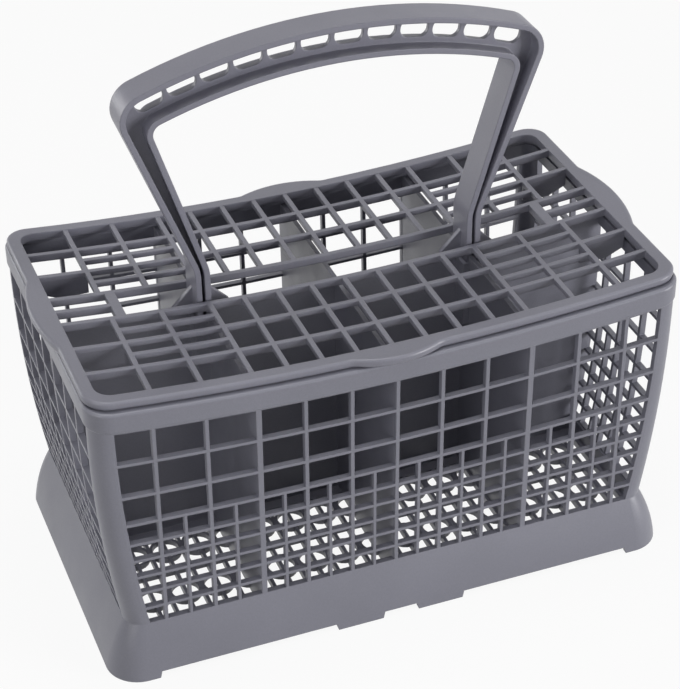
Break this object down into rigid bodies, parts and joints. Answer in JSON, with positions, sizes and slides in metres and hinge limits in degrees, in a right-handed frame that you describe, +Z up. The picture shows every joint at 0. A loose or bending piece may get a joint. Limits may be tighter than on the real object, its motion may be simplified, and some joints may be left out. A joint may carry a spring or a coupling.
{
  "type": "dishwasher cutlery basket",
  "caption": "Free-standing plastic basket with lattice walls, flared foot, lift-off grid lid and an arched carrying handle, for holding cutlery upright in a dishwasher.",
  "frame": {"origin": "on the ground under the middle of the basket, at the soles of its feet", "axes": "+X along the basket's length, +Y across it towards the rear, +Z up towards the handle"},
  "size_m": [0.2486, 0.1412, 0.2341],
  "materials": {
    "grey_plastic": "fine matte moulded grey",
    "lid_plastic": "fine matte moulded grey",
    "handle_plastic": "satin moulded grey"
  },
  "bodies": {
    "root": {"basket": "grey_plastic", "lid": "lid_plastic", "handle": "handle_plastic"}
  },
  "joints": []
}
